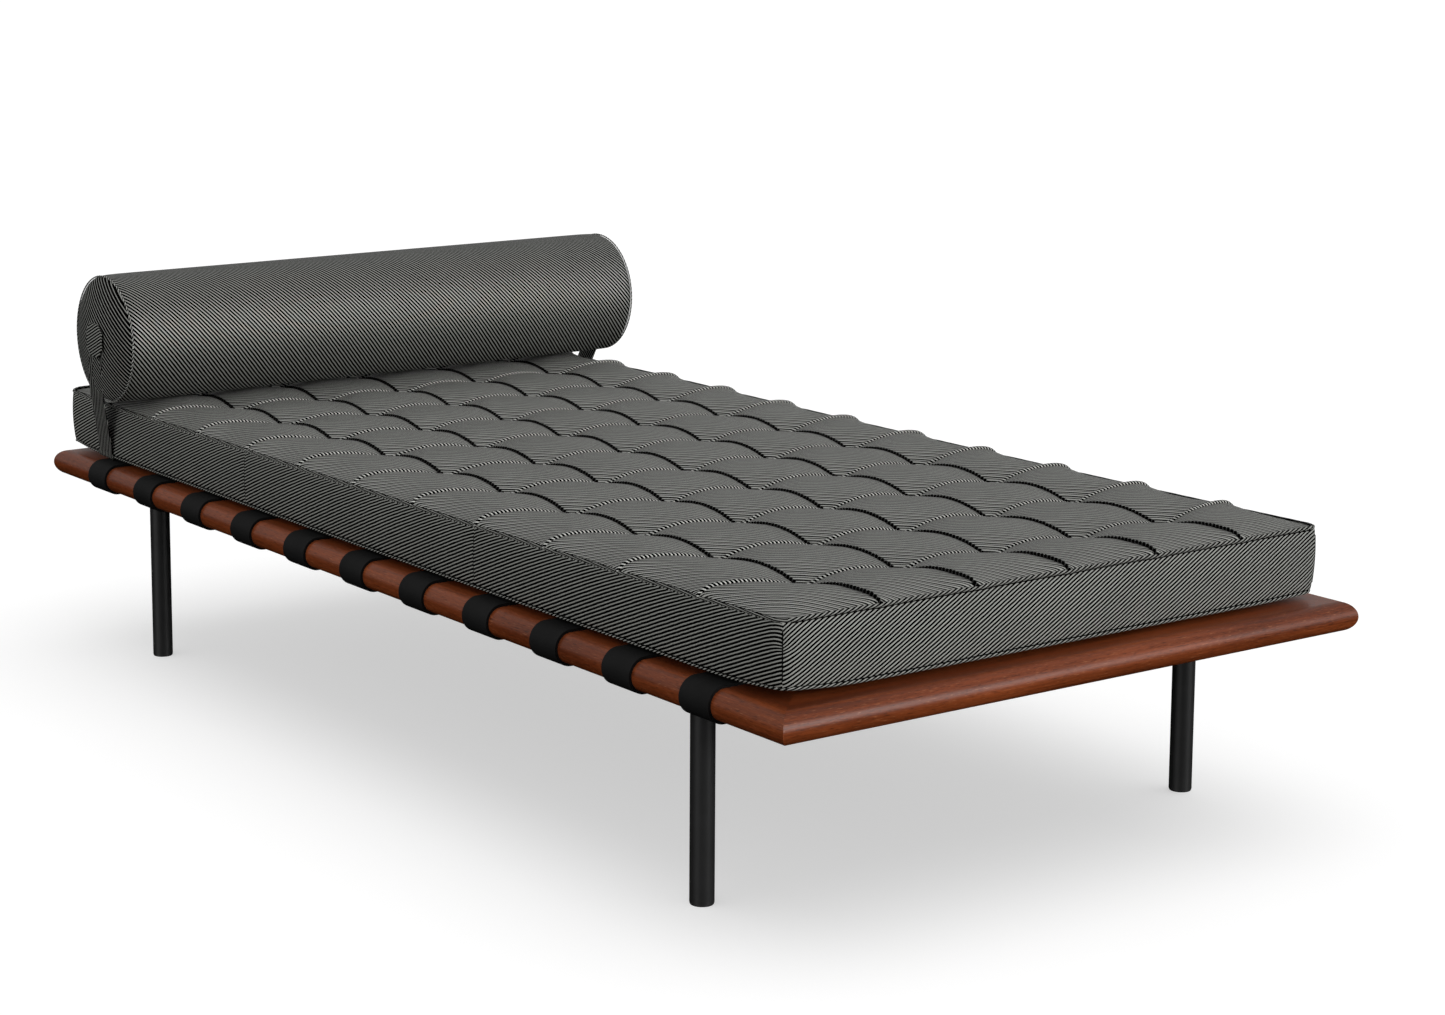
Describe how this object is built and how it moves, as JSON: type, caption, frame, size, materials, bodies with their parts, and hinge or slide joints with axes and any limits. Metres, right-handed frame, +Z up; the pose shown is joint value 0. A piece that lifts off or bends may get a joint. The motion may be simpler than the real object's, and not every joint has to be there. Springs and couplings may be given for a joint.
{
  "type": "daybed",
  "caption": "Low daybed: bullnose hardwood frame with rubber straps round its side rails, tube legs, a tufted ribbed-twill mattress and a bolster held by fabric tethers.",
  "frame": {"origin": "centre of the wooden frame, on the floor under the glides", "axes": "+X along the bed to the foot end, +Y across the bed, +Z up"},
  "size_m": [1.9835, 1.0102, 0.6284],
  "materials": {
    "hardwood": "satin",
    "strap_rubber": "matte",
    "leg_paint": "satin",
    "steel": "satin",
    "zinc": "satin",
    "nylon": "matte",
    "twill": "matte",
    "welt": "matte",
    "foam": "matte",
    "twine": "matte",
    "felt": "matte"
  },
  "bodies": {
    "base": {"side_rail_near": "hardwood", "side_rail_far": "hardwood", "end_rail_head": "hardwood", "end_rail_foot": "hardwood", "tongue_near_head": "hardwood", "tongue_near_foot": "hardwood", "tongue_far_head": "hardwood", "tongue_far_foot": "hardwood", "strap_01": "strap_rubber", "strap_02": "strap_rubber", "strap_03": "strap_rubber", "strap_04": "strap_rubber", "strap_05": "strap_rubber", "strap_06": "strap_rubber", "strap_07": "strap_rubber", "strap_08": "strap_rubber", "strap_09": "strap_rubber", "strap_10": "strap_rubber", "strap_11": "strap_rubber", "strap_clamps": "steel", "strap_screws": "zinc", "leg_near_head": "leg_paint", "leg_near_foot": "leg_paint", "leg_far_head": "leg_paint", "leg_far_foot": "leg_paint", "leg_plug_near_head": "steel", "leg_plug_near_foot": "steel", "leg_plug_far_head": "steel", "leg_plug_far_foot": "steel", "leg_plate_near_head": "steel", "leg_plate_near_foot": "steel", "leg_plate_far_head": "steel", "leg_plate_far_foot": "steel", "plate_screws": "zinc", "glide_near_head": "nylon", "glide_near_foot": "nylon", "glide_far_head": "nylon", "glide_far_foot": "nylon", "mattress_cover": "twill", "mattress_core": "foam", "tuft_ties": "twine", "tie_washers": "felt", "welt_top": "welt", "welt_bottom": "welt"},
    "bolster": {"bolster_cover": "twill", "bolster_core": "foam", "bolster_welt_near": "welt", "bolster_welt_far": "welt", "tether_near": "twill", "tether_far": "twill", "tether_patch_near": "twill", "tether_patch_far": "twill"}
  },
  "joints": [
    {"name": "bolster_slide", "type": "slide", "parent": "base", "child": "bolster", "axis": [1, 0, 0], "range_m": [-0.095, 1.63]}
  ]
}
